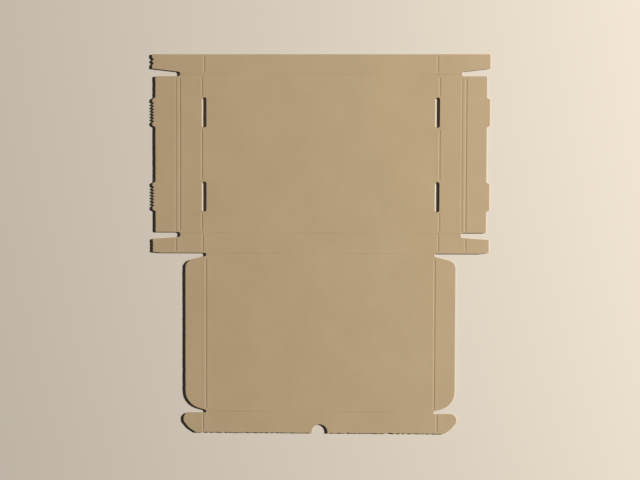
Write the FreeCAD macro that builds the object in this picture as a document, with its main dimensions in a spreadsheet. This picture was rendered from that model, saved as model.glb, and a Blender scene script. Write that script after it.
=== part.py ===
import FreeCAD, Part
import os
import Sketcher

# A die-cut folding mailer of corrugated board, lying flat and unfolded with
# its inside face up. The front wall is at the far end (+Y) and the tuck flap
# at the near end (-Y). The two halves are alike, apart from the toothed ends
# on the left (-X). The underside lies on Z = 0.

sizes = {
    "board": 1.6,                # thickness of the board
    "base_width": 306.0,         # base panel, between its side creases
    "base_depth": 204.8,         # base panel, front crease to back crease
    "front_wall": 25.5,          # front crease to the far edge
    "back_wall": 26.4,           # back crease to the lid's crease
    "lid_depth": 205.7,          # lid's crease to the tuck crease
    "tuck_flap": 27.2,           # tuck crease to the near edge
    "outer_wall": 28.4,          # base side crease to the first roll crease
    "roll_strip": 5.4,           # between the two roll creases
    "inner_wall": 26.6,          # second roll crease to the inner wall's edge
    "inner_gap_front": 2.6,      # inner wall's end, short of the front crease
    "inner_gap_back": 1.4,       # inner wall's end, short of the back crease
    "tab_reach": 4.0,            # locking tab, beyond the inner wall's edge
    "tab_root": 38.2,            # locking tab's length where it starts
    "tab_taper": 2.3,            # how far each end of a tab draws in
    "slot_width": 5.6,           # locking slot
    "slot_play": 0.6,            # slot's length beyond the tab's
    "slot_first": 49.1,          # front crease to the first slot's centre
    "slot_pitch": 108.4,         # first slot's centre to the second's
    "front_ear_inset": 2.9,      # front ear's crease, inside the base crease
    "front_ear_reach": 67.4,     # front ear beyond its crease
    "front_ear_rise": 7.1,       # its near outer corner, beyond the slit
    "back_ear_inset": 1.1,       # back ear's crease, inside the base crease
    "back_ear_reach": 65.2,      # back ear beyond its crease
    "back_ear_drop": 7.5,        # its far outer corner, below the slit
    "back_ear_trim": 0.9,        # its near edge, short of the lid's crease
    "back_ear_clip": 1.1,        # rise of that edge at its outer end
    "back_ear_clip_run": 11.0,   # length of that rise
    "front_notch_rise": 2.9,     # front side notch, above the slit
    "front_notch_round": 2.5,    # rounding of its end
    "back_notch_drop": 5.0,      # back side notch, below the slit
    "back_notch_round": 2.9,
    "lid_inset": 5.2,            # lid's side crease, inside the base crease
    "lid_flap": 27.0,            # lid's side flap
    "lid_flap_start": 3.0,       # its far end, below the lid's crease
    "lid_flap_far_slope": 7.0,   # how far that end slopes over the flap
    "lid_flap_near_slope": 7.8,  # the same at its near end
    "lid_flap_far_round": 11.0,
    "lid_flap_near_round": 24.0,
    "lid_notch_round": 1.7,
    "tuck_notch_rise": 2.0,      # tuck notch, above the tuck crease
    "tuck_notch_drop": 1.3,      # tuck ear's far edge, below that crease
    "tuck_notch_round": 1.5,
    "tuck_ear_inset": 1.3,       # tuck ear's crease, inside the base crease
    "tuck_ear_reach": 25.5,      # tuck ear beyond its crease
    "tuck_ear_round": 7.5,       # its far outer corner
    "tuck_cheek_top": 14.6,      # its slanting cheek, above the near edge
    "tuck_cheek_in": 7.2,        # the cheek's middle, in from the ear's end
    "tuck_cheek_low": 5.8,       # the same, above the near edge
    "tuck_cheek_foot": 16.2,     # the cheek's end, in from the ear's end
    "tuck_cheek_round": 7.0,
    "tuck_foot_round": 20.0,
    "corner_round": 1.2,         # small outer corners
    "thumb_radius": 10.0,        # thumb notch in the near edge
    "thumb_rise": 1.5,           # its centre, above that edge
    "crease_width": 2.8,         # pressed crease, across its mouth
    "crease_depth": 0.4,
    "crease_stop": 4.0,          # a crease stops short of an edge by this
    "slot_clear": 1.5,           # and short of a slot by this
    "slit_width": 0.3,           # knife slit between an ear and a side wall
    "slit_hole": 1.0,            # round hole at the slit's inner end
    "ear_tooth": 2.2,            # teeth on the front left ear
    "ear_tooth_pitch": 5.2,
    "back_tooth": 0.6,           # fainter teeth on the back left ear
    "tab_tooth": 2.6,            # teeth on the left tabs
    "tab_tooth_pitch": 3.9,
}

doc = FreeCAD.newDocument("mailer")
sheet = doc.addObject("Spreadsheet::Sheet", "Sizes")
for row, (name, value) in enumerate(sizes.items(), start=1):
    sheet.set(f"A{row}", name)
    sheet.set(f"B{row}", str(value))
    sheet.setAlias(f"B{row}", name)
doc.recompute()


class Size:
    """A length, with the sheet expression that gives it."""

    def __init__(self, value, text):
        self.value = value
        self.text = text

    def joined(self, other, sign, value):
        return Size(value, f"({self.text} {sign} {asSize(other).text})")

    def __add__(self, other):
        return self.joined(other, "+", self.value + asSize(other).value)

    def __sub__(self, other):
        return self.joined(other, "-", self.value - asSize(other).value)

    def __mul__(self, other):
        return self.joined(other, "*", self.value * asSize(other).value)

    def __truediv__(self, other):
        return self.joined(other, "/", self.value / asSize(other).value)

    def __neg__(self):
        return self * -1


def asSize(number):
    if isinstance(number, Size):
        return number
    return Size(float(number), repr(float(number)))


def smaller(one, other):
    return Size(min(one.value, other.value), f"min({one.text}; {other.text})")


def size(name):
    return Size(sheet.get(name), f"Sizes.{name}")


# Places on the blank: Y levels from far to near, then X from the middle out.
length = size("front_wall") + size("base_depth") + size("back_wall")
length = length + size("lid_depth") + size("tuck_flap")
yFar = length / 2
yFront = yFar - size("front_wall")
yBack = yFront - size("base_depth")
yLid = yBack - size("back_wall")
yTuck = yLid - size("lid_depth")
yNear = yTuck - size("tuck_flap")
ySlots = [yFront - size("slot_first"), yFront - size("slot_first") - size("slot_pitch")]

xBase = size("base_width") / 2
xRollOne = xBase + size("outer_wall")
xRollTwo = xRollOne + size("roll_strip")
xInner = xRollTwo + size("inner_wall")
xTab = xInner + size("tab_reach")
xFrontEar = xBase - size("front_ear_inset")
xFrontEnd = xFrontEar + size("front_ear_reach")
xBackEar = xBase - size("back_ear_inset")
xBackEnd = xBackEar + size("back_ear_reach")
xLid = xBase - size("lid_inset")
xLidEnd = xLid + size("lid_flap")
xTuckEar = xBase - size("tuck_ear_inset")
xTuckEnd = xTuckEar + size("tuck_ear_reach")

slotRadius = size("slot_width") / 2
slotLength = size("tab_root") + size("slot_play")
tabTip = size("tab_root") / 2 - size("tab_taper")
board = size("board")

blank = doc.addObject("PartDesign::Body", "MailerBlank")
blank.Label = "mailer_blank"


def plane(role):
    return next(o for o in blank.Origin.OriginFeatures if o.Role == role)


def newSketch(name, role):
    sketch = blank.newObject("Sketcher::SketchObject", name)
    sketch.AttachmentSupport = (plane(role), [""])
    sketch.MapMode = "FlatFace"
    return sketch


def settle(sketch, rules):
    """Adds a sketch's rules in one go, and ties its dimensions to the sheet."""
    first = sketch.ConstraintCount
    sketch.addConstraint([rule for rule, amount in rules])
    for index, (rule, amount) in enumerate(rules, start=first):
        if amount is not None:
            sketch.setExpression(f"Constraints[{index}]", amount.text)


def pins(geometry, point, x, y):
    """Rules that tie one point of a sketch to a place on the blank."""
    rules = []
    for kind, amount, axis in (("DistanceX", x, -2), ("DistanceY", y, -1)):
        if abs(amount.value) < 1e-9:
            rules.append((Sketcher.Constraint("PointOnObject", geometry, point, axis), None))
        else:
            rule = Sketcher.Constraint(kind, -1, 1, geometry, point, amount.value)
            rules.append((rule, amount))
    return rules


def polygon(sketch, corners):
    """A closed outline of straight edges through corners given as sizes."""
    corners = [(asSize(x), asSize(y)) for x, y in corners]
    ends = [FreeCAD.Vector(x.value, y.value, 0) for x, y in corners]
    first = sketch.GeometryCount
    count = len(ends)
    edges = [Part.LineSegment(ends[i], ends[(i + 1) % count]) for i in range(count)]
    sketch.addGeometry(edges, False)
    rules = []
    for i, (x, y) in enumerate(corners):
        before = first + (i - 1) % count
        rules.append((Sketcher.Constraint("Coincident", before, 2, first + i, 1), None))
        rules += pins(first + i, 1, x, y)
    settle(sketch, rules)


def circle(sketch, x, y, radius):
    middle = FreeCAD.Vector(x.value, y.value, 0)
    added = sketch.addGeometry(Part.Circle(middle, FreeCAD.Vector(0, 0, 1), radius.value), False)
    rules = pins(added, 3, x, y)
    rules.append((Sketcher.Constraint("Radius", added, radius.value), radius))
    settle(sketch, rules)


def extrude(kind, name, sketch, amount, midplane=False, reversed_=False):
    """Pads or pockets a sketch, and says if a pocket took nothing away."""
    volume = blank.Shape.Volume if kind == "Pocket" else 0
    feature = blank.newObject(f"PartDesign::{kind}", name)
    feature.Profile = sketch
    feature.setExpression("Length", amount.text)
    feature.Midplane = midplane
    feature.Reversed = reversed_
    doc.recompute()
    if kind == "Pocket" and not feature.Shape.Volume < volume - 1e-3:
        raise ValueError(f"{name} cut nothing")
    return feature


# The right half of the outline, from the far edge round to the near edge:
# each corner's place, and its rounding where it has one.
frontNotch = size("front_notch_rise") + size("inner_gap_front")
backNotch = size("back_notch_drop") + size("inner_gap_back")
lidNotch = size("back_ear_trim") + size("lid_flap_start")
tuckNotch = size("tuck_notch_rise") + size("tuck_notch_drop")
frontRound = smaller(size("front_notch_round"), frontNotch * 0.48)
backRound = smaller(size("back_notch_round"), backNotch * 0.48)
lidRound = smaller(size("lid_notch_round"), lidNotch * 0.48)
tuckRound = smaller(size("tuck_notch_round"), tuckNotch * 0.48)
small = smaller(size("corner_round"), size("tab_reach") / 2)
cheekTop = size("tuck_cheek_top")
outline = [
    (0, yFar, None),
    (xFrontEnd, yFar, small),
    (xFrontEnd, yFront + size("front_ear_rise"), small),
    (xRollOne, yFront + size("front_notch_rise"), frontRound),
    (xRollOne, yFront - size("inner_gap_front"), frontRound),
    (xInner, yFront - size("inner_gap_front"), small),
]
for ySlot in ySlots:
    outline += [
        (xInner, ySlot + size("tab_root") / 2, small),
        (xTab, ySlot + tabTip, small),
        (xTab, ySlot - tabTip, small),
        (xInner, ySlot - size("tab_root") / 2, small),
    ]
outline += [
    (xInner, yBack + size("inner_gap_back"), small),
    (xRollOne, yBack + size("inner_gap_back"), backRound),
    (xRollOne, yBack - size("back_notch_drop"), backRound),
    (xBackEnd, yBack - size("back_ear_drop"), small),
    (xBackEnd, yLid + size("back_ear_trim") + size("back_ear_clip"), small),
    (xBackEnd - size("back_ear_clip_run"), yLid + size("back_ear_trim"), None),
    (xLid, yLid + size("back_ear_trim"), lidRound),
    (xLid, yLid - size("lid_flap_start"), lidRound),
    (xLidEnd, yLid - size("lid_flap_start") - size("lid_flap_far_slope"),
     smaller(size("lid_flap_far_round"), size("lid_flap") * 0.8)),
    (xLidEnd, yTuck + size("tuck_notch_rise") + size("lid_flap_near_slope"),
     smaller(size("lid_flap_near_round"), size("lid_flap") * 0.9)),
    (xLid, yTuck + size("tuck_notch_rise"), tuckRound),
    (xLid, yTuck - size("tuck_notch_drop"), tuckRound),
    (xTuckEnd, yTuck - size("tuck_notch_drop"),
     smaller(size("tuck_ear_round"), size("tuck_flap") * 0.28)),
    (xTuckEnd, yNear + cheekTop, size("tuck_cheek_round")),
    (xTuckEnd - size("tuck_cheek_in"), yNear + size("tuck_cheek_low"), size("tuck_foot_round")),
    (xTuckEnd - size("tuck_cheek_foot"), yNear, None),
    (0, yNear, None),
]
halfSketch = newSketch("HalfOutline", "XY_Plane")
polygon(halfSketch, [(x, y) for x, y, radius in outline])
half = extrude("Pad", "Half", halfSketch, board)

whole = blank.newObject("PartDesign::Mirrored", "Whole")
whole.Originals = [half]
whole.MirrorPlane = (plane("YZ_Plane"), [""])
blank.Tip = whole
doc.recompute()


def uprightEdges(places):
    """Names of the edges through the board's thickness at these places."""
    names = []
    for number, edge in enumerate(blank.Shape.Edges, start=1):
        box = edge.BoundBox
        if box.XLength > 1e-3 or box.YLength > 1e-3 or box.ZLength < board.value / 2:
            continue
        here = edge.CenterOfMass
        if any(abs(abs(here.x) - x) < 1e-3 and abs(here.y - y) < 1e-3 for x, y in places):
            names.append(f"Edge{number}")
    return names


# Corners of one radius are rounded together, on both halves.
groups = {}
for x, y, radius in outline:
    if radius is not None:
        groups.setdefault(radius.text, (radius, []))[1].append((x.value, y.value))
for number, (radius, places) in enumerate(groups.values(), start=1):
    edges = uprightEdges(places)
    if len(edges) != 2 * len(places):
        raise ValueError(f"{len(edges)} edges found for {len(places)} corners")
    base = blank.Tip
    fillet = blank.newObject("PartDesign::Fillet", f"Rounding{number}")
    fillet.Base = (base, edges)
    fillet.setExpression("Radius", radius.text)
    doc.recompute()

# The thumb notch, the locking slots and the knife slits go right through.
thumbSketch = newSketch("ThumbOutline", "XY_Plane")
circle(thumbSketch, asSize(0), yNear + size("thumb_rise"), size("thumb_radius"))
extrude("Pocket", "ThumbNotch", thumbSketch, board, reversed_=True)


def roundSlot(sketch, x, y, radius, span):
    """A slot along Y with half-round ends."""
    up = FreeCAD.Vector(0, 0, 1)
    reach = span / 2 - radius
    ends = [y + reach, y - reach]
    arcs = []
    for end, start, stop in ((ends[0], 0, 3.14159265), (ends[1], 3.14159265, 6.2831853)):
        middle = FreeCAD.Vector(x.value, end.value, 0)
        arc = Part.ArcOfCircle(Part.Circle(middle, up, radius.value), start, stop)
        arcs.append(sketch.addGeometry(arc, False))
    sides = []
    for sign in (-1, 1):
        top = FreeCAD.Vector(x.value + sign * radius.value, ends[0].value, 0)
        low = FreeCAD.Vector(x.value + sign * radius.value, ends[1].value, 0)
        sides.append(sketch.addGeometry(Part.LineSegment(top, low), False))
    joints = ((arcs[0], 2, sides[0], 1), (arcs[0], 1, sides[1], 1),
              (arcs[1], 1, sides[0], 2), (arcs[1], 2, sides[1], 2))
    rules = [(Sketcher.Constraint("Tangent", *joint), None) for joint in joints]
    for arc, end in zip(arcs, ends):
        rules += pins(arc, 3, x, end)
    rules.append((Sketcher.Constraint("Radius", arcs[0], radius.value), radius))
    settle(sketch, rules)


slotSketch = newSketch("SlotOutlines", "XY_Plane")
for ySlot in ySlots:
    for sign in (-1, 1):
        roundSlot(slotSketch, (xBase - slotRadius) * sign, ySlot, slotRadius, slotLength)
extrude("Pocket", "LockingSlots", slotSketch, board, reversed_=True)

slitSketch = newSketch("SlitOutlines", "XY_Plane")
slitHoleSketch = newSketch("SlitHoles", "XY_Plane")
halfSlit = size("slit_width") / 2
for sign in (-1, 1):
    for xEar, y, notchRound in ((xFrontEar, yFront, size("front_notch_round")),
                                (xBackEar, yBack, size("back_notch_round"))):
        outer = (xRollOne + notchRound) * sign
        inner = xEar * sign
        polygon(slitSketch, [(inner, y - halfSlit), (outer, y - halfSlit),
                             (outer, y + halfSlit), (inner, y + halfSlit)])
        circle(slitHoleSketch, inner, y, size("slit_hole") / 2)
extrude("Pocket", "KnifeSlits", slitSketch, board, reversed_=True)
extrude("Pocket", "SlitEnds", slitHoleSketch, board, reversed_=True)


# Creases are pressed into the inside face as shallow round-bottomed grooves.
creaseRadius = (size("crease_width") * size("crease_width") / 4
                + size("crease_depth") * size("crease_depth")) / size("crease_depth") / 2
creaseHeight = board + creaseRadius - size("crease_depth")
stop = size("crease_stop")
slotStop = slotLength / 2 + size("slot_clear")


def pressAlongY(name, xs, far, near):
    """Grooves along Y at each x, alike on both halves."""
    sketch = newSketch(f"{name}Section", "XZ_Plane")
    for x in xs:
        for sign in (-1, 1):
            circle(sketch, x * sign, creaseHeight, creaseRadius)
    sketch.setExpression("AttachmentOffset.Base.z", (-(far + near) / 2).text)
    extrude("Pocket", name, sketch, far - near, midplane=True)


def pressAlongX(name, y, reach):
    """One groove along X, as long each side of the middle."""
    sketch = newSketch(f"{name}Section", "YZ_Plane")
    circle(sketch, y, creaseHeight, creaseRadius)
    extrude("Pocket", name, sketch, reach * 2, midplane=True)


innerFar = yFront - size("inner_gap_front")
innerNear = yBack + size("inner_gap_back")
earStop = stop / 2
pressAlongY("FrontEarCreases", [xFrontEar], yFar - earStop, yFront + earStop)
pressAlongY("SideCreasesFar", [xBase], yFront - stop, ySlots[0] + slotStop)
pressAlongY("SideCreasesMiddle", [xBase], ySlots[0] - slotStop, ySlots[1] + slotStop)
pressAlongY("SideCreasesNear", [xBase], ySlots[1] - slotStop, yBack + earStop)
pressAlongY("RollCreases", [xRollOne, xRollTwo], innerFar - earStop, innerNear + earStop / 2)
pressAlongY("BackEarCreases", [xBackEar, xRollTwo], yBack - earStop, yLid + earStop)
pressAlongY("LidSideCreases", [xLid], yLid - stop - earStop, yTuck + stop)
pressAlongY("TuckEarCreases", [xTuckEar], yTuck - stop / 2, yNear + earStop)
pressAlongX("FrontCrease", yFront, xFrontEar - stop)
pressAlongX("BackCrease", yBack, xBackEar - stop)
pressAlongX("LidCrease", yLid, xLid - stop)
pressAlongX("TuckCrease", yTuck, xLid - stop)

# The left ears and tabs end in a row of teeth.
toothSketch = newSketch("ToothGaps", "XY_Plane")
outside = asSize(1)
tabMiddles = [(ySlot, tabTip * 2) for ySlot in ySlots]
earMiddle = (yFar + yFront + size("front_ear_rise")) / 2
earSpan = yFar - yFront - size("front_ear_rise")
backMiddle = (yBack - size("back_ear_drop") + yLid + size("back_ear_trim")) / 2
backSpan = yBack - size("back_ear_drop") - yLid - size("back_ear_trim")
rows = [(xFrontEnd, earMiddle, earSpan, size("ear_tooth"), size("ear_tooth_pitch")),
        (xBackEnd, backMiddle, backSpan, size("back_tooth"), size("tab_tooth_pitch"))]
rows += [(xTab, y, span, size("tab_tooth"), size("tab_tooth_pitch")) for y, span in tabMiddles]
for end, middle, span, depth, pitch in rows:
    gaps = max(1, int((span.value - pitch.value) / pitch.value))
    mouth = pitch * 0.42
    flare = mouth + mouth * outside / depth
    for gap in range(gaps):
        y = middle + pitch * (gap - (gaps - 1) / 2)
        polygon(toothSketch, [(-end - outside, y - flare), (-end + depth, y),
                              (-end - outside, y + flare)])
extrude("Pocket", "ToothedEnds", toothSketch, board, reversed_=True)

doc.recompute()
for thing in doc.Objects:
    if "Invalid" in thing.State or "Error" in thing.State:
        raise ValueError(f"{thing.Name} failed: {thing.State}")
if blank.Shape.isNull() or not blank.Shape.isValid() or len(blank.Shape.Solids) != 1:
    raise ValueError("the blank isn't one sound solid")

os.makedirs("parts", exist_ok=True)
blank.Shape.exportStep(f"parts/{blank.Label}.step")
box = blank.Shape.BoundBox
print(f"{blank.Label}: {box.XLength:.1f} x {box.YLength:.1f} x {box.ZLength:.2f} mm,"
      f" {blank.Shape.Volume / 1000:.1f} cubic cm, from X {box.XMin:.2f} and Y {box.YMin:.2f}")
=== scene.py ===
import math

import bpy
import numpy as np
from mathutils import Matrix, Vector
from mathutils.geometry import delaunay_2d_cdt


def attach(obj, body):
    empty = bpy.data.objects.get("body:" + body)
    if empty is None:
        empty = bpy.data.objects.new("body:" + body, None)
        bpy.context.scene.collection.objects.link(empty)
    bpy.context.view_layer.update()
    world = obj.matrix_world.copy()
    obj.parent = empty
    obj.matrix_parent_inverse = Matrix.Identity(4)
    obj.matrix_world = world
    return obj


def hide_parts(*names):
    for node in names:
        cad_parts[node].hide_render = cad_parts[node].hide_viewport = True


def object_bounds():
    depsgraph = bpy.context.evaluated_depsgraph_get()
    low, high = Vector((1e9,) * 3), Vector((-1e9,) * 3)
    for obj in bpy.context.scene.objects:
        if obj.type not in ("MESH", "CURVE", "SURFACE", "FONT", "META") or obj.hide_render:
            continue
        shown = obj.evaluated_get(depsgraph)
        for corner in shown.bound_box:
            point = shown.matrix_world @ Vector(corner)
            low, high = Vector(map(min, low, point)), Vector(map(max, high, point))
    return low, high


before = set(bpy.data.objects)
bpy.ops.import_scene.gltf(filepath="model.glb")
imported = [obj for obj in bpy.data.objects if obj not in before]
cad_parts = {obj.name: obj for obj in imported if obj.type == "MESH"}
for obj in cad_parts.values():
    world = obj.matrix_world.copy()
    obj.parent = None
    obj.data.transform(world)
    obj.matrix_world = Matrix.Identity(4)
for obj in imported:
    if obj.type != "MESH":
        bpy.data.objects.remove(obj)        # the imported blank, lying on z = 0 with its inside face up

mm = 0.001
cadLow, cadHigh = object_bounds()
thickness = cadHigh.z
print("frame loaded", [round(v / mm, 1) for v in cadHigh - cadLow], "mm")


# sRGB hex to the linear colour that a shader takes
def linear(hexColour):
    channels = [int(hexColour[i:i + 2], 16) / 255 for i in (1, 3, 5)]
    return [c / 12.92 if c <= 0.04045 else ((c + 0.055) / 1.055) ** 2.4 for c in channels] + [1.0]


# Adds a node with its settings and links; an input is a value or another node's output
def addNode(tree, kind, inputs=None, **settings):
    made = tree.nodes.new(kind)
    for name, value in settings.items():
        setattr(made, name, value)
    for name, value in (inputs or {}).items():
        if isinstance(value, bpy.types.NodeSocket):
            tree.links.new(value, made.inputs[name])
        else:
            made.inputs[name].default_value = value
    return made


# A new material and its empty node tree
def newMaterial(name):
    material = bpy.data.materials.new(name)
    material.use_nodes = True
    material.node_tree.nodes.clear()
    return material, material.node_tree


# A new object in the scene for a mesh, lamp or camera
def newObject(name, data):
    made = bpy.data.objects.new(name, data)
    bpy.context.scene.collection.objects.link(made)
    return made


boardSettings = {
    "rimDrop": 0.10 * mm,       # how far the knife rolls the liner's edge over
    "rimSoft": 0.22,            # share of that drop at the first ring behind the edge
    "rimUnder": 0.6,            # share of it on the underside
    "rimRings": [0.12 * mm, 0.34 * mm],   # distance of the rings behind the rolled edge
    "flatRing": 0.9 * mm,       # loose points that keep the rolled edge's shading narrow
    "faceDrop": 0.05 * mm,      # flat face below the creases' raised shoulders
    "gridStep": 7.0 * mm,       # points of the open panels
    "roughStep": 1.1 * mm,      # a blunt knife leaves the near edge and the left ends ragged
    "nearRough": 1.0 * mm,
    "nearFrom": 13 * mm,        # ragged from beside the thumb notch
    "nearTo": 157 * mm,         # to the flap's ears
    "leftRough": 0.35 * mm,
    "leftFrom": 170 * mm,       # the left ends lie further out than this
    "leftFacing": 0.95,         # a point of a straight left end has its inward vector
    "leftSkew": 0.1,            # at least so far along X and at most so far along Y
    "edgeBand": 0.01 * mm,      # a point this close to the near side is on the near edge
    "slitWidth": 0.3 * mm,      # a slit of the solid, and how much of it stays open
    "slitOpen": 0.3,
    "slitBand": 0.51,           # share of the width, from the middle, that holds its sides
    "slitStop": 1.0 * mm,       # the round hole at its inner end keeps its shape
    "warp": 0.035 * mm,         # slow rise and fall of the panels
    "warpX": (31, 1.3, 67),     # mm for a radian, how far that sways, mm for a radian of sway
    "warpY": (43, 0.8, 83),
    "wallRows": [0.25, 0.75],   # rows down the cut edge, as shares of the thickness
    "setBack": 0.09 * mm,       # the middle plies lie behind the two liners
    "sharpAngle": 50,           # degrees: the cut edge stays crisp against the faces
    "tiny": 1e-4,               # mm: points closer than this are one, thinner triangles go
    "seed": 4,
}

# Least distance between mesh points of two kinds, so that no triangle is a sliver
clearSettings = {
    "gridEdge": 1.5 * mm, "gridCrease": 2.2 * mm, "creaseEdge": 0.8 * mm,
    "ringEdge": 0.7 * mm, "ringCrease": 0.5 * mm,
}

creaseSettings = {
    "halfWidth": 1.45 * mm,     # middle of the groove to its shoulder
    "depth": 0.145 * mm,        # where the walls, flaps and ears fold
    "faintDepth": 0.085 * mm,   # the weaker of each pair of roll creases
    "acrossDepth": 0.045 * mm,  # across the flutes a crease hardly shows
    "shoulder": 0.03 * mm,      # the board swells a little beside the groove
    "shoulderWidth": 1.3 * mm,
    "shoulderFrom": 0.8,        # share of the half width where the swelling begins
    "fade": 1.6 * mm,           # a crease runs out over this at each end
    "uneven": 0.9,              # across the flutes its depth comes and goes
    "unevenLength": 26 * mm,
    "unevenPhase": 90,          # radians for a metre, so that no two of them fade alike
    "across": [0, 0.3, 0.6, 0.9, 1.2, 1.5, 1.9, 2.4, 3.0],   # mm from its middle
    "along": 5.0 * mm,
    "endRows": [0, 0.25, 0.5, 0.75, 1.0],   # rows in the fade, as shares of it
}

# Crease places, in mm, from the panels' sizes; the far edge is the CAD box's own
panelSettings = {
    "frontWall": 25.5, "baseDepth": 204.8, "backWall": 26.4, "lidDepth": 205.7,
    "baseWidth": 306.0, "outerWall": 28.4, "rollStrip": 5.4,
    "frontEarInset": 2.9, "backEarInset": 1.1, "lidInset": 5.2, "tuckEarInset": 1.3,
    "slotFirst": 49.1, "slotPitch": 108.4, "slotReach": 20.9,
    "stop": 4.0,             # a crease ends this far from an edge or a knife slit
    "shortStop": 2.0,
    "rollStop": 2.4,         # the near ends of the roll creases and of the back ears' creases
    "earStop": 2.8,
}


# Outline of the blank, read from the flat underside of the CAD solid: edges that belong to
# one underside triangle only, followed round into closed loops
def outlineLoops(node):
    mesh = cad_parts[node].data
    mesh.calc_loop_triangles()
    places = np.zeros(len(mesh.vertices) * 3)
    mesh.vertices.foreach_get("co", places)
    corners = np.zeros(len(mesh.loop_triangles) * 3, int)
    mesh.loop_triangles.foreach_get("vertices", corners)
    places = places.reshape(-1, 3).round(7)      # within 0.1 micrometre, corners are one
    welded, same = np.unique(places, axis=0, return_inverse=True)
    triangles = same.reshape(-1)[corners].reshape(-1, 3)
    under = triangles[(welded[triangles, 2] < 0.001 * mm).all(axis=1)]
    directed = np.concatenate([under[:, [0, 1]], under[:, [1, 2]], under[:, [2, 0]]])
    keys, count = np.unique(np.sort(directed, axis=1), axis=0, return_counts=True)
    border = {tuple(k) for k in keys[count == 1]}
    following = {a: b for b, a in directed if (min(a, b), max(a, b)) in border}
    loops = []
    while following:
        start = next(iter(following))
        chain = [start]
        while following[chain[-1]] != start:
            chain.append(following.pop(chain[-1]))
        following.pop(chain[-1])
        loops.append(welded[chain, :2])
    return loops


# Points added along every edge longer than the step, evenly on each edge
def resample(loop, step):
    ahead = np.roll(loop, -1, axis=0)
    pieces = np.maximum(1, np.ceil(np.linalg.norm(ahead - loop, axis=1) / step)).astype(int)
    edge = np.repeat(np.arange(len(loop)), pieces)
    share = np.concatenate([np.arange(n) / n for n in pieces])[:, None]
    return loop[edge] * (1 - share) + ahead[edge] * share


# Vectors that point into the board: the sum of the two edges' left-hand unit normals, over
# half its own square, so that a ring moved along them keeps its distance from both edges;
# the least divisor keeps the vector of a sharp corner short
def inwards(loop):
    leastDivisor = 0.6
    along = np.roll(loop, -1, axis=0) - loop
    along /= np.linalg.norm(along, axis=1)[:, None]
    left = np.stack([-along[:, 1], along[:, 0]], axis=1)
    both = left + np.roll(left, 1, axis=0)
    return both / np.maximum(leastDivisor, (both ** 2).sum(axis=1) / 2)[:, None]


# True where a point lies in the board: a line from it towards +X crosses the outline an odd
# number of times
def insideBoard(points, loops):
    crossings = np.zeros(len(points), int)
    for loop in loops:
        ahead = np.roll(loop, -1, axis=0)
        for (x0, y0), (x1, y1) in zip(loop, ahead):
            if y0 == y1:
                continue
            spans = (points[:, 1] > min(y0, y1)) & (points[:, 1] <= max(y0, y1))
            reach = x0 + (points[:, 1] - y0) * (x1 - x0) / (y1 - y0)
            crossings += spans & (points[:, 0] < reach)
    return crossings % 2 == 1


# True where a point's nearest neighbour among the others is further off than the distance,
# worked out for a batch of points at a time to save memory
def farFrom(points, others, distance):
    batch = 1000
    keep = np.ones(len(points), bool)
    for first in range(0, len(points), batch):
        part = points[first:first + batch]
        gaps = ((part[:, None, :] - others[None, :, :]) ** 2).sum(axis=2).min(axis=1)
        keep[first:first + batch] = gaps > distance ** 2
    return keep


# Smooth step from 0 to 1: three times the square of the share, less twice its cube
def smooth(share):
    t = np.clip(share, 0, 1)
    return t * t * (3 - 2 * t)


# Each crease as its two ends and its depth, in metres, far end or left end first
def creaseLines():
    p = panelSettings
    far = cadHigh.y / mm
    near = cadLow.y / mm
    front = far - p["frontWall"]
    back = front - p["baseDepth"]
    lid = back - p["backWall"]
    tuck = lid - p["lidDepth"]
    base = p["baseWidth"] / 2
    rollOne = base + p["outerWall"]
    rollTwo = rollOne + p["rollStrip"]
    slotOne = front - p["slotFirst"]
    slotTwo = slotOne - p["slotPitch"]
    reach, stop, short = p["slotReach"], p["stop"], p["shortStop"]
    depths = (creaseSettings[key] / mm for key in ("depth", "faintDepth", "acrossDepth"))
    fold, faint, across = depths
    upright = [                  # place, two ends, and the depths on the left and the right
        (base - p["frontEarInset"], far - short, front + short, fold, fold),
        (base, front - stop, slotOne + reach, fold, fold),
        (base, slotOne - reach, slotTwo + reach, fold, fold),
        (base, slotTwo - reach, back + short, fold, fold),
        (rollOne, front - stop - short / 2, back + p["rollStop"], fold, faint),
        (rollTwo, front - stop - short / 2, back + p["rollStop"], faint, fold),
        (base - p["backEarInset"], back - short, lid + short, fold, fold),
        (rollTwo, back - stop - short, lid + p["earStop"], fold, fold),
        (base - p["lidInset"], lid - stop - short, tuck + stop, fold, fold),
        (base - p["tuckEarInset"], tuck - short, near + short, fold, fold),
    ]
    lines = [(x * side, y0, x * side, y1, depth) for x, y0, y1, left, right in upright
             for side, depth in ((-1, left), (1, right))]
    wide = base - stop * 2
    narrow = base - p["lidInset"] - stop
    for y, end in ((front, wide), (back, wide), (lid, narrow), (tuck, narrow)):
        lines.append((-end, y, end, y, across))
    return np.array(lines) * mm


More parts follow.
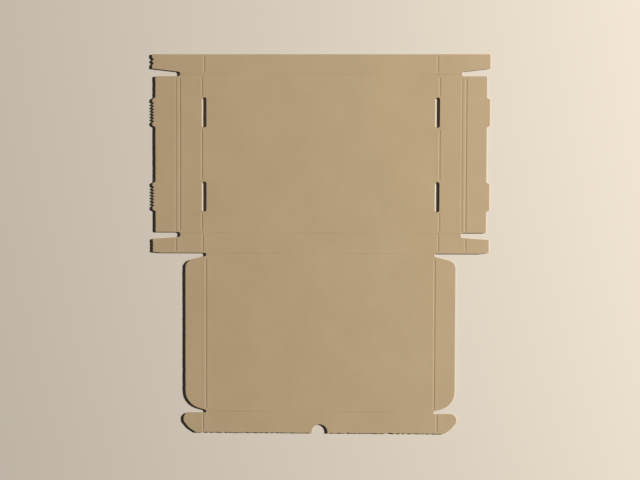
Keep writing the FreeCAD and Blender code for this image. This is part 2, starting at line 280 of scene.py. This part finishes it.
# How deep each point lies in a crease, in metres, and how far it stands on a shoulder, 0 to 1:
# across the crease the groove is (1 - (d / w) squared) squared, and the shoulder is a bell
# just outside it; both run out smoothly at the crease's two ends
def creaseRelief(points, lines):
    s = creaseSettings
    groove = np.zeros(len(points))
    shoulder = np.zeros(len(points))
    for x0, y0, x1, y1, depth in lines:
        start = np.array([x0, y0])
        along = np.array([x1 - x0, y1 - y0])
        length = np.linalg.norm(along)
        along /= length
        run = (points - start) @ along
        off = np.abs((points - start) @ np.array([-along[1], along[0]]))
        ends = smooth(np.minimum(run, length - run) / s["fade"])
        cut = np.clip(1 - (off / s["halfWidth"]) ** 2, 0, 1) ** 2
        if y0 == y1:             # across the flutes
            phase = y0 * s["unevenPhase"]
            ends = ends * (1 + s["uneven"] * np.sin(points[:, 0] / s["unevenLength"] + phase))
        bell = np.exp(-((off - s["halfWidth"] - s["shoulderWidth"] / 2) / s["shoulderWidth"]) ** 2)
        groove = np.maximum(groove, cut * ends * depth)
        bell *= ends * depth / s["depth"] * (off > s["halfWidth"] * s["shoulderFrom"])
        shoulder = np.maximum(shoulder, bell)
    return groove, shoulder


# Height of the inside face: the board, less a slow wave, less the grooves, plus shoulders.
# The wave is a sine along X times a cosine along Y, each swaying with the other direction.
def faceHeight(points, lines):
    s = boardSettings
    groove, shoulder = creaseRelief(points, lines)
    x, y = points[:, 0] / mm, points[:, 1] / mm
    xLength, xSway, xSwayLength = s["warpX"]
    yLength, ySway, ySwayLength = s["warpY"]
    waveX = np.sin(x / xLength + xSway * np.sin(y / xSwayLength))
    waveY = np.cos(y / yLength + ySway * np.sin(x / ySwayLength))
    flat = thickness - s["faceDrop"] - s["warp"] * (1 + waveX * waveY)
    height = flat - groove + creaseSettings["shoulder"] * shoulder
    return np.minimum(height, thickness), groove / creaseSettings["depth"]


# Lattice of points along one crease: rows across it, columns that keep its lines straight
def creaseLattice(line):
    s = creaseSettings
    start = line[:2]
    along = line[2:4] - line[:2]
    length = np.linalg.norm(along)
    along = along / length
    side = np.array([-along[1], along[0]])
    ends = np.array(s["endRows"]) * s["fade"]
    steps = max(2, int(length / s["along"]))
    middle = np.linspace(s["fade"], length - s["fade"], steps)[1:-1]
    runs = np.concatenate([ends, middle, (length - ends)[::-1]])
    offsets = np.array(s["across"]) * mm
    offsets = np.concatenate([-offsets[:0:-1], offsets])
    return start + runs[:, None, None] * along + offsets[None, :, None] * side


# The points of all the creases, and the edges that join them along each crease
def creaseNet(lines):
    points, edges, first = [], [], 0
    for lattice in [creaseLattice(line) for line in lines]:
        rows, columns = lattice.shape[:2]
        numbers = np.arange(rows * columns).reshape(rows, columns) + first
        edges.append(np.stack([numbers[:-1].ravel(), numbers[1:].ravel()], axis=1))
        points.append(lattice.reshape(-1, 2))
        first += rows * columns
    return np.concatenate(points), np.concatenate(edges)


# Fills the board's outline with triangles through rings and loose points; gives the places,
# the triangles and, for each point handed in, its number among the places
def fillBoard(rings, loose, looseEdges, loops):
    tiny = boardSettings["tiny"]
    points = np.concatenate(rings + [loose]) if len(loose) else np.concatenate(rings)
    edges = []
    first = 0
    for ring in rings:
        numbers = np.arange(len(ring)) + first
        edges.append(np.stack([numbers, np.roll(numbers, -1)], axis=1))
        first += len(ring)
    if len(looseEdges):
        edges.append(looseEdges + first)
    edges = np.concatenate(edges).tolist()
    flat = [Vector(p) for p in (points / mm).tolist()]
    made = delaunay_2d_cdt(flat, edges, [], 0, tiny)
    places = np.array([tuple(v) for v in made[0]]) * mm
    triangles = np.array([f for f in made[2] if len(f) == 3])
    a, b, c = (places[triangles[:, i]] / mm for i in range(3))
    doubleArea = (b - a)[:, 0] * (c - a)[:, 1] - (b - a)[:, 1] * (c - a)[:, 0]
    triangles = triangles[doubleArea > tiny]     # slivers of three points in line go
    middles = places[triangles].mean(axis=1)
    triangles = triangles[insideBoard(middles, loops)]
    number = np.full(len(points), -1)
    for new, olds in enumerate(made[3]):
        number[olds] = new
    return places, triangles, number


# The outline as it is cut: fine points, ragged where the knife was blunt, and the two
# sides of each knife slit sprung almost together. The inward vectors are those of the clean
# outline, so that rings moved along them repeat its nicks and never cross it.
def cutOutline(node):
    s = boardSettings
    p = panelSettings
    chance = np.random.default_rng(s["seed"])
    loops = [resample(loop, s["roughStep"]) for loop in outlineLoops(node)]
    front = cadHigh.y - p["frontWall"] * mm
    back = front - p["baseDepth"] * mm
    slitEnd = (p["baseWidth"] / 2 + p["outerWall"]) * mm - s["slitStop"]
    inner = [inwards(loop) for loop in loops]
    for loop, ways in zip(loops, inner):
        nick = chance.random(len(loop)) ** 3     # cubed: most nicks are small, a few deep
        beside = np.abs(loop[:, 0])
        onNear = loop[:, 1] < cadLow.y + s["edgeBand"]
        onNear &= (beside > s["nearFrom"]) & (beside < s["nearTo"])
        onLeft = loop[:, 0] < -s["leftFrom"]
        onLeft &= (ways[:, 0] > s["leftFacing"]) & (np.abs(ways[:, 1]) < s["leftSkew"])
        loop[onNear, 1] += nick[onNear] * s["nearRough"]
        loop[onLeft, 0] += nick[onLeft] * s["leftRough"]
        for middle in (front, back):
            off = loop[:, 1] - middle
            onSlit = (np.abs(off) < s["slitWidth"] * s["slitBand"]) & (np.abs(loop[:, 0]) < slitEnd)
            loop[onSlit, 1] = middle + off[onSlit] * s["slitOpen"]
    return loops, inner


# Inside face: rings behind the cut edge, the creases' points and a plain grid between them,
# at the face's height, with the knife's roll taken off at the edge. Gives its places, its
# triangles, the numbers of the edge's points and how deep each place is pressed.
def insideFace(loops, inner):
    s = boardSettings
    c = clearSettings
    lines = creaseLines()
    rings = list(loops)
    for distance in s["rimRings"]:
        rings += [loop + way * distance for loop, way in zip(loops, inner)]
    border = np.concatenate(loops)
    crease, creaseEdges = creaseNet(lines)
    xs = np.arange(cadLow.x, cadHigh.x, s["gridStep"])
    ys = np.arange(cadLow.y, cadHigh.y, s["gridStep"])
    grid = np.stack(np.meshgrid(xs, ys), axis=2).reshape(-1, 2)
    grid = grid[insideBoard(grid, loops)]
    grid = grid[farFrom(grid, border, c["gridEdge"])]
    grid = grid[farFrom(grid, crease, c["gridCrease"])]
    flatRing = np.concatenate([loop + way * s["flatRing"] for loop, way in zip(loops, inner)])
    flatRing = flatRing[insideBoard(flatRing, loops) & farFrom(flatRing, border, c["ringEdge"])]
    flatRing = flatRing[farFrom(flatRing, crease, c["ringCrease"])]
    keep = insideBoard(crease, loops) & farFrom(crease, border, c["creaseEdge"])
    renumber = np.cumsum(keep) - 1
    creaseEdges = renumber[creaseEdges[keep[creaseEdges].all(axis=1)]]
    loose = np.concatenate([crease[keep], flatRing, grid])
    flat, faces, number = fillBoard(rings, loose, creaseEdges, loops)
    height, pressed = faceHeight(flat, lines)
    edge = number[:len(border)]
    height[edge] -= s["rimDrop"]
    height[number[len(border):2 * len(border)]] -= s["rimDrop"] * s["rimSoft"]
    print("inside face", len(faces), "triangles")
    return np.column_stack([flat, height]), faces, edge, pressed


# Underside: flat on the floor, with one ring behind its slightly rolled edge
def underFace(loops, inner):
    s = boardSettings
    rings = list(loops) + [loop + way * s["rimRings"][1] for loop, way in zip(loops, inner)]
    flat, faces, number = fillBoard(rings, [], [], loops)
    edge = number[:sum(len(loop) for loop in loops)]
    height = np.zeros(len(flat))
    height[edge] = s["rimDrop"] * s["rimUnder"]
    print("underside", len(faces), "triangles")
    return np.column_stack([flat, height]), faces[:, ::-1], edge


# The whole board: the two faces and the cut edge between them, which is a strip of quads
# from level to level down the thickness, its middle plies set back a little
def boardMesh(name, node):
    s = boardSettings
    loops, inner = cutOutline(node)
    border = np.concatenate(loops)
    top, topFaces, topEdge, topPressed = insideFace(loops, inner)
    low, lowFaces, lowEdge = underFace(loops, inner)
    upper, lower = top[topEdge, 2], low[lowEdge, 2]
    behind = border + np.concatenate(inner) * s["setBack"]
    rows = [np.column_stack([behind, upper + (lower - upper) * share]) for share in s["wallRows"]]
    places = np.concatenate([top, low] + rows)
    rowFirst = len(top) + len(low)
    levels = [topEdge]
    levels += [rowFirst + len(border) * i + np.arange(len(border)) for i in range(len(rows))]
    levels += [len(top) + lowEdge]
    sizes = [len(loop) for loop in loops]
    ahead = np.concatenate([np.roll(np.arange(size), -1) for size in sizes])
    ahead += np.repeat(np.cumsum([0] + sizes[:-1]), sizes)
    wall = [np.stack([a, b, b[ahead], a[ahead]], axis=1) for a, b in zip(levels, levels[1:])]
    wall = np.concatenate(wall)
    wallTriangles = np.concatenate([wall[:, [0, 1, 2]], wall[:, [0, 2, 3]]])
    faces = np.concatenate([topFaces, lowFaces + len(top), wallTriangles])
    pressed = np.zeros(len(places), np.float32)
    pressed[:len(top)] = topPressed
    used, faces = np.unique(faces, return_inverse=True)
    faces = faces.reshape(-1, 3)
    places, pressed = places[used], pressed[used]

    mesh = bpy.data.meshes.new(name)
    mesh.from_pydata(places.tolist(), [], faces.tolist())
    materialIndex = np.zeros(len(faces), np.int32)
    materialIndex[-len(wallTriangles):] = 1
    mesh.polygons.foreach_set("material_index", materialIndex)
    mesh.polygons.foreach_set("use_smooth", np.ones(len(faces), bool))
    # how deep each place is pressed; the liner paints shade into the creases from it
    mesh.attributes.new("pressed", "FLOAT", "POINT").data.foreach_set("value", pressed)

    # on the cut edge U runs round the outline and V up the thickness, both in metres
    steps = [np.linalg.norm(np.roll(loop, -1, axis=0) - loop, axis=1) for loop in loops]
    before = np.concatenate([np.cumsum(step) - step for step in steps])
    after = before + np.concatenate(steps)
    corner = np.zeros(len(mesh.loops), int)
    mesh.loops.foreach_get("vertex_index", corner)
    uv = places[corner][:, :2].copy()
    quadU = np.tile(np.stack([before, before, after, after], axis=1), (len(levels) - 1, 1))
    wallU = np.concatenate([quadU[:, [0, 1, 2]], quadU[:, [0, 2, 3]]]).ravel()
    uv[-len(wallU):, 0] = wallU
    uv[-len(wallU):, 1] = places[corner[-len(wallU):], 2]
    layer = mesh.uv_layers.new(name="cutEdge")
    layer.data.foreach_set("uv", uv.astype(np.float32).ravel())
    mesh.set_sharp_from_angle(angle=math.radians(s["sharpAngle"]))
    mesh.update()
    print("whole blank", len(faces), "triangles")
    return mesh


# Kraft liner: unbleached softwood paper, calendered but uncoated. To the eye it is a matt
# warm tan with cloudy formation, short darker fibres, painted shade that darkens the creases
# with a little burnishing of the crushed fibres, and the faintest trace of the flutes beneath it.
def kraftLiner():
    s = {
        "board": "#b09a78",       # mean colour of the sheet
        "cloudDark": "#ad9775",   # cloudy formation of the paper
        "cloudPale": "#b39d7b",
        "fleck": "#8a7150",       # stray darker fibres
        "fleckFrom": 0.6,         # noise values where a fibre starts to show and shows in full
        "fleckTo": 0.82,
        "fleckShare": 0.5,
        "pressed": "#94805f",     # painted shade on the floor of a crease, with a little burnishing
        "creaseShadeShare": 0.35,
        "cloudSize": 60 * mm,
        "fibreLength": 3.0 * mm,
        "fibreWidth": 0.45 * mm,  # coarser than a real fibre, so that it shows
        "fibreRise": 0.06 * mm,
        "fibreBump": 0.35,
        "flutePitch": 3.3 * mm,
        "fluteRise": 0.03 * mm,
        "fluteBump": 0.25,
        "roughness": (0.78, 0.9),   # of the denser and the looser clouds of the paper
        "shine": 0.25,
        "ior": 1.45,
    }
    material, tree = newMaterial("kraftLiner")
    place = addNode(tree, "ShaderNodeTexCoord").outputs["Object"]
    clouds = addNode(tree, "ShaderNodeTexNoise", {
        "Vector": place, "Scale": 1 / s["cloudSize"], "Detail": 5.0, "Roughness": 0.6})
    cloudy = addNode(tree, "ShaderNodeValToRGB", {"Fac": clouds.outputs["Fac"]})
    ramp = cloudy.color_ramp.elements
    ramp[0].position = 0.3
    ramp[0].color = linear(s["cloudDark"])
    ramp[1].position = 0.7
    ramp[1].color = linear(s["cloudPale"])
    ramp.new(0.5).color = linear(s["board"])
    stretched = addNode(tree, "ShaderNodeMapping", {"Vector": place})
    stretched.inputs["Scale"].default_value = (1 / s["fibreWidth"], 1 / s["fibreLength"], 1 / mm)
    fibres = addNode(tree, "ShaderNodeTexNoise", {
        "Vector": stretched.outputs["Vector"], "Scale": 1.0, "Detail": 3.0, "Roughness": 0.7,
        "Distortion": 0.6})
    fleckShare = addNode(tree, "ShaderNodeMapRange", {
        "Value": fibres.outputs["Fac"], "From Min": s["fleckFrom"], "From Max": s["fleckTo"],
        "To Min": 0.0, "To Max": s["fleckShare"]})
    flecked = addNode(tree, "ShaderNodeMix", {
        "Factor": fleckShare.outputs["Result"], "A": cloudy.outputs["Color"],
        "B": linear(s["fleck"])}, data_type="RGBA")
    # painted shade: the deeper a crease is pressed, the more its colour goes to the darker crease
    # colour, with a little burnishing
    pressed = addNode(tree, "ShaderNodeAttribute", attribute_name="pressed")
    creaseShadeShare = addNode(tree, "ShaderNodeMath", {
        0: pressed.outputs["Fac"], 1: s["creaseShadeShare"]}, operation="MULTIPLY")
    colour = addNode(tree, "ShaderNodeMix", {
        "Factor": creaseShadeShare.outputs[0], "A": flecked.outputs["Result"],
        "B": linear(s["pressed"])}, data_type="RGBA")
    # at scale 1 a wave texture has 20 bands in two pi metres
    flutes = addNode(tree, "ShaderNodeTexWave", {
        "Vector": place, "Scale": 2 * math.pi / 20 / s["flutePitch"], "Distortion": 0.0},
        bands_direction="X")
    fibreBump = addNode(tree, "ShaderNodeBump", {
        "Height": fibres.outputs["Fac"], "Strength": s["fibreBump"], "Distance": s["fibreRise"]})
    fluteBump = addNode(tree, "ShaderNodeBump", {
        "Height": flutes.outputs["Fac"], "Strength": s["fluteBump"], "Distance": s["fluteRise"],
        "Normal": fibreBump.outputs["Normal"]})
    roughness = addNode(tree, "ShaderNodeMapRange", {
        "Value": clouds.outputs["Fac"], "From Min": 0.3, "From Max": 0.7,
        "To Min": s["roughness"][0], "To Max": s["roughness"][1]})
    shader = addNode(tree, "ShaderNodeBsdfPrincipled", {
        "Base Color": colour.outputs["Result"], "Roughness": roughness.outputs["Result"],
        "Normal": fluteBump.outputs["Normal"], "IOR": s["ior"],
        "Specular IOR Level": s["shine"]})
    addNode(tree, "ShaderNodeOutputMaterial", {"Surface": shader.outputs["BSDF"]})
    return material


# Cut edge of single-wall board, sheared by a steel rule. To the eye it is two tan liners
# with the darker wavy medium between them, seen as open flutes where the cut crosses them,
# and quite without shine, because the torn fibres stand up.
def cutEdge():
    s = {
        "liner": "#9e8c6c",
        "medium": "#857358",
        "hollow": "#40352a",      # shade inside the open flutes
        "flutePitch": 3.3 * mm,
        "plyShare": 0.2,          # share of the thickness that each liner takes
        "linerBlur": 0.05,
        "plyWidth": 0.35,         # width of the medium's line, as a share of the core
        "plyBlur": 0.4,           # share of that width over which it fades
        "tornSize": 0.8 * mm,
        "tornRise": 0.1 * mm,
        "tornBump": 0.5,
        "roughness": 0.95,
        "shine": 0.15,
    }
    core = 1 - 2 * s["plyShare"]
    material, tree = newMaterial("corrugatedCutEdge")
    uv = addNode(tree, "ShaderNodeUVMap", uv_map="cutEdge")
    parts = addNode(tree, "ShaderNodeSeparateXYZ", {"Vector": uv.outputs["UV"]})
    # the medium is a sine along the edge, as high as the core; level runs from -1 to 1
    angle = addNode(tree, "ShaderNodeMath", {
        0: parts.outputs["X"], 1: 2 * math.pi / s["flutePitch"]}, operation="MULTIPLY")
    wave = addNode(tree, "ShaderNodeMath", {0: angle.outputs[0]}, operation="SINE")
    level = addNode(tree, "ShaderNodeMapRange", {
        "Value": parts.outputs["Y"], "From Min": 0.0, "From Max": thickness,
        "To Min": -1.0, "To Max": 1.0})
    ply = addNode(tree, "ShaderNodeMath", {0: wave.outputs[0], 1: core}, operation="MULTIPLY")
    gap = addNode(tree, "ShaderNodeMath", {
        0: level.outputs["Result"], 1: ply.outputs[0]}, operation="SUBTRACT")
    distance = addNode(tree, "ShaderNodeMath", {0: gap.outputs[0]}, operation="ABSOLUTE")
    hollowShare = addNode(tree, "ShaderNodeMapRange", {
        "Value": distance.outputs[0], "From Min": s["plyWidth"] * (1 - s["plyBlur"]),
        "From Max": s["plyWidth"] * (1 + s["plyBlur"])})
    height = addNode(tree, "ShaderNodeMath", {0: level.outputs["Result"]}, operation="ABSOLUTE")
    linerShare = addNode(tree, "ShaderNodeMapRange", {
        "Value": height.outputs[0], "From Min": core - s["linerBlur"],
        "From Max": core + s["linerBlur"]})
    inside = addNode(tree, "ShaderNodeMix", {
        "Factor": hollowShare.outputs["Result"], "A": linear(s["medium"]),
        "B": linear(s["hollow"])}, data_type="RGBA")
    colour = addNode(tree, "ShaderNodeMix", {
        "Factor": linerShare.outputs["Result"], "A": inside.outputs["Result"],
        "B": linear(s["liner"])}, data_type="RGBA")
    place = addNode(tree, "ShaderNodeTexCoord").outputs["Object"]
    torn = addNode(tree, "ShaderNodeTexNoise", {
        "Vector": place, "Scale": 1 / s["tornSize"], "Detail": 2.0})
    bump = addNode(tree, "ShaderNodeBump", {
        "Height": torn.outputs["Fac"], "Strength": s["tornBump"], "Distance": s["tornRise"]})
    shader = addNode(tree, "ShaderNodeBsdfPrincipled", {
        "Base Color": colour.outputs["Result"], "Normal": bump.outputs["Normal"],
        "Roughness": s["roughness"], "Specular IOR Level": s["shine"]})
    addNode(tree, "ShaderNodeOutputMaterial", {"Surface": shader.outputs["BSDF"]})
    return material


# The one piece of the part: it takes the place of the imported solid
def mailerBoard():
    mesh = boardMesh("mailerBoard", "mailer_blank")
    mesh.materials.append(kraftLiner())
    mesh.materials.append(cutEdge())
    board = newObject("mailerBoard", mesh)
    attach(board, "root")
    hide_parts("mailer_blank")


# Floor of painted plaster, rolled on: plain, pale and matt, with the board's shadow and no
# reflection. It lies a little below the board's underside.
def studioFloor():
    s = {
        "size": 9.0,              # metres
        "gap": 0.05 * mm,
        "colour": "#d4cabb",
        "roughness": 0.9,
        "shine": 0.1,
    }
    material, tree = newMaterial("paleStudioFloor")
    shader = addNode(tree, "ShaderNodeBsdfPrincipled", {
        "Base Color": linear(s["colour"]), "Roughness": s["roughness"],
        "Specular IOR Level": s["shine"]})
    addNode(tree, "ShaderNodeOutputMaterial", {"Surface": shader.outputs["BSDF"]})
    h, z = s["size"] / 2, -s["gap"]
    mesh = bpy.data.meshes.new("studioFloor")
    mesh.from_pydata([(-h, -h, z), (h, -h, z), (h, h, z), (-h, h, z)], [], [(0, 1, 2, 3)])
    mesh.materials.append(material)
    newObject("studioFloor", mesh)


# One low lamp from the right rakes the creases; a dim even sky fills the shadows
def studioLight():
    s = {
        "distance": 4.6,          # metres from the blank's middle
        "azimuth": 13.0,          # degrees
        "elevation": 20.0,
        "size": 0.2,
        "level": 0.98,            # share of full light that the lamp gives a level surface
        "lampColour": "#fffdfc",
        "sky": 0.045,
        "skyColour": "#f6f7f9",
    }
    turn, rise = math.radians(s["azimuth"]), math.radians(s["elevation"])
    towards = Vector((math.cos(turn) * math.cos(rise), math.sin(turn) * math.cos(rise), math.sin(rise)))
    light = bpy.data.lights.new("rakingLamp", "AREA")
    light.shape = "DISK"
    light.size = s["size"]
    light.color = linear(s["lampColour"])[:3]
    # a disk of power P lights a facing surface with P / (pi d squared)
    light.energy = math.pi * s["distance"] ** 2 * s["level"] * math.pi / math.sin(rise)
    lamp = newObject("rakingLamp", light)
    lamp.location = towards * s["distance"]
    lamp.rotation_euler = towards.to_track_quat("Z", "Y").to_euler()

    # the sky is dim as a light, and pale where it is seen or mirrored
    world = bpy.data.worlds.new("studioSky")
    world.use_nodes = True
    tree = world.node_tree
    tree.nodes.clear()
    path = addNode(tree, "ShaderNodeLightPath")
    seen = addNode(tree, "ShaderNodeMath", {
        0: path.outputs["Is Camera Ray"], 1: path.outputs["Is Glossy Ray"]}, operation="MAXIMUM")
    seen = addNode(tree, "ShaderNodeMath", {
        0: seen.outputs[0], 1: path.outputs["Is Transmission Ray"]}, operation="MAXIMUM")
    strength = addNode(tree, "ShaderNodeMapRange", {
        "Value": seen.outputs[0], "To Min": s["sky"], "To Max": 1.0})
    sky = addNode(tree, "ShaderNodeBackground", {
        "Color": linear(s["skyColour"]), "Strength": strength.outputs["Result"]})
    addNode(tree, "ShaderNodeOutputWorld", {"Surface": sky.outputs["Background"]})
    bpy.context.scene.world = world


# Camera: looks almost straight down, as the photograph was taken
def photoCamera():
    s = {
        "lens": 50.6,             # mm, like the sensor's width
        "sensor": 36.0,
        "place": (20.2 * mm, 38.8 * mm, 1162.2 * mm),
        "turn": (-1.606, 1.014, 0.188),   # degrees about X, Y and Z
    }
    data = bpy.data.cameras.new("photoCamera")
    data.lens = s["lens"]
    data.sensor_width = s["sensor"]
    camera = newObject("photoCamera", data)
    camera.location = s["place"]
    camera.rotation_euler = [math.radians(a) for a in s["turn"]]
    bpy.context.scene.camera = camera


mailerBoard()
print("board made")
studioFloor()
studioLight()
photoCamera()
bpy.context.scene.view_settings.view_transform = "Standard"
print("floor, light and camera set")
